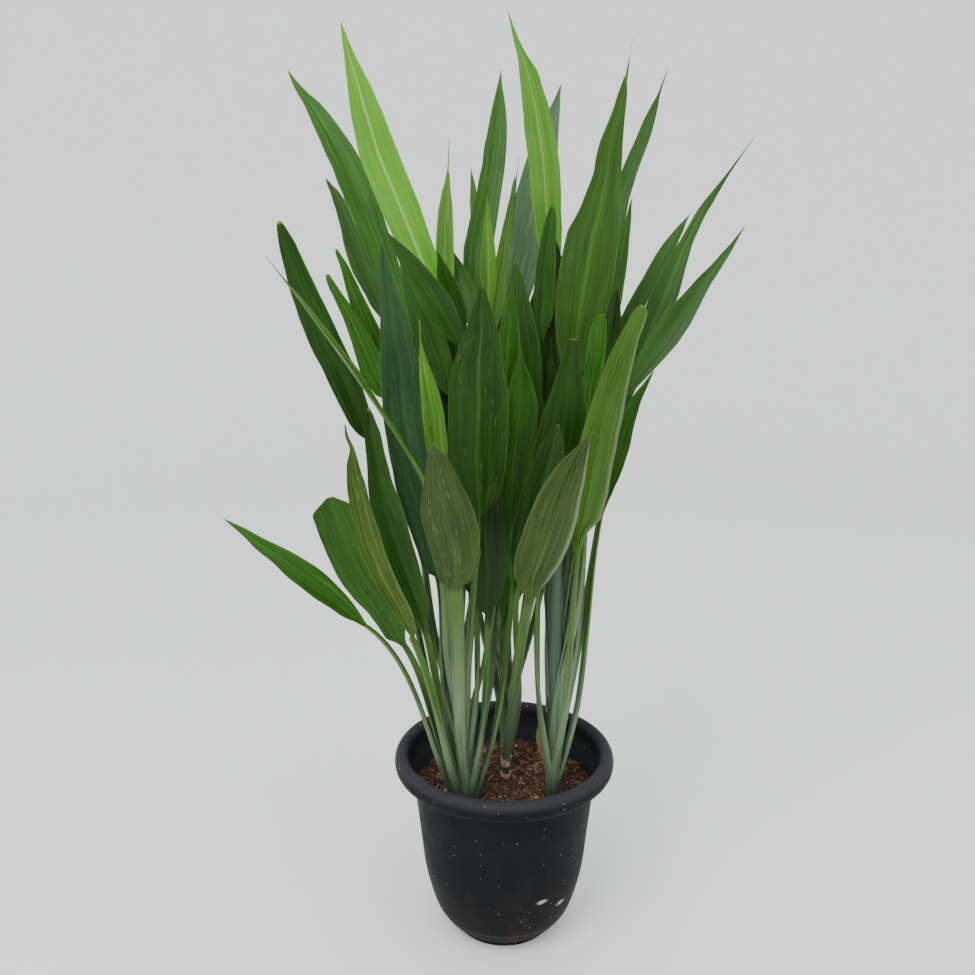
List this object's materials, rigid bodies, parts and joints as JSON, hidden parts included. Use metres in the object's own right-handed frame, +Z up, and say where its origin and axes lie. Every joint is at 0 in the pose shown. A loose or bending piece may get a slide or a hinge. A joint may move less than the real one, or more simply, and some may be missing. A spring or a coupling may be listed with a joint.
{
  "type": "potted dracaena",
  "caption": "Upright leafy plant with long petioles and pointed blades, standing in a round pot of soil.",
  "frame": {"origin": "middle of the pot's flat underside, on the surface that it stands on", "axes": "+Z up, -Y towards the viewer of the picture, +X to the viewer's right"},
  "size_m": [0.5507, 0.4207, 1.0483],
  "materials": {
    "pot_plastic": "moulded charcoal plastic, satin at the rim",
    "soil": "loose brown coconut fibre and chips",
    "stem_green": "smooth grey-green leaf bases",
    "leaf_dark": "satin dark green leaf",
    "leaf_mid": "satin mid green leaf",
    "leaf_light": "satin yellow-green leaf",
    "dry_sheath": "dry papery brown leaf base"
  },
  "bodies": {
    "root": {"pot": "pot_plastic", "soil": "soil", "stem_left": "stem_green", "stem_middle": "stem_green", "stem_right": "stem_green", "dry_sheath_middle": "dry_sheath", "dry_sheath_right": "dry_sheath", "leaf_left_01": "leaf_dark", "leaf_left_02": "leaf_dark", "leaf_left_03": "leaf_mid", "leaf_left_04": "leaf_dark", "leaf_left_05": "leaf_dark", "leaf_left_06": "leaf_mid", "leaf_left_07": "leaf_mid", "leaf_left_08": "leaf_light", "leaf_left_09": "leaf_mid", "leaf_left_10": "leaf_mid", "leaf_left_11": "leaf_mid", "leaf_left_12": "leaf_light", "leaf_left_13": "leaf_dark", "leaf_left_14": "leaf_dark", "leaf_left_15": "leaf_dark", "leaf_left_16": "leaf_light", "leaf_left_17": "leaf_dark", "leaf_left_18": "leaf_mid", "leaf_left_19": "leaf_dark", "leaf_left_20": "leaf_dark", "leaf_left_21": "leaf_mid", "leaf_left_22": "leaf_mid", "leaf_middle_01": "leaf_mid", "leaf_middle_02": "leaf_mid", "leaf_middle_03": "leaf_dark", "leaf_middle_04": "leaf_dark", "leaf_middle_05": "leaf_dark", "leaf_middle_06": "leaf_light", "leaf_middle_07": "leaf_light", "leaf_middle_08": "leaf_dark", "leaf_middle_09": "leaf_light", "leaf_middle_10": "leaf_dark", "leaf_middle_11": "leaf_light", "leaf_right_01": "leaf_mid", "leaf_right_02": "leaf_light", "leaf_right_03": "leaf_mid", "leaf_right_04": "leaf_dark", "leaf_right_05": "leaf_dark", "leaf_right_06": "leaf_dark", "leaf_right_07": "leaf_dark", "leaf_right_08": "leaf_dark", "leaf_right_09": "leaf_dark", "leaf_right_10": "leaf_mid", "leaf_right_11": "leaf_dark", "leaf_right_12": "leaf_light", "leaf_right_13": "leaf_dark"}
  },
  "joints": []
}
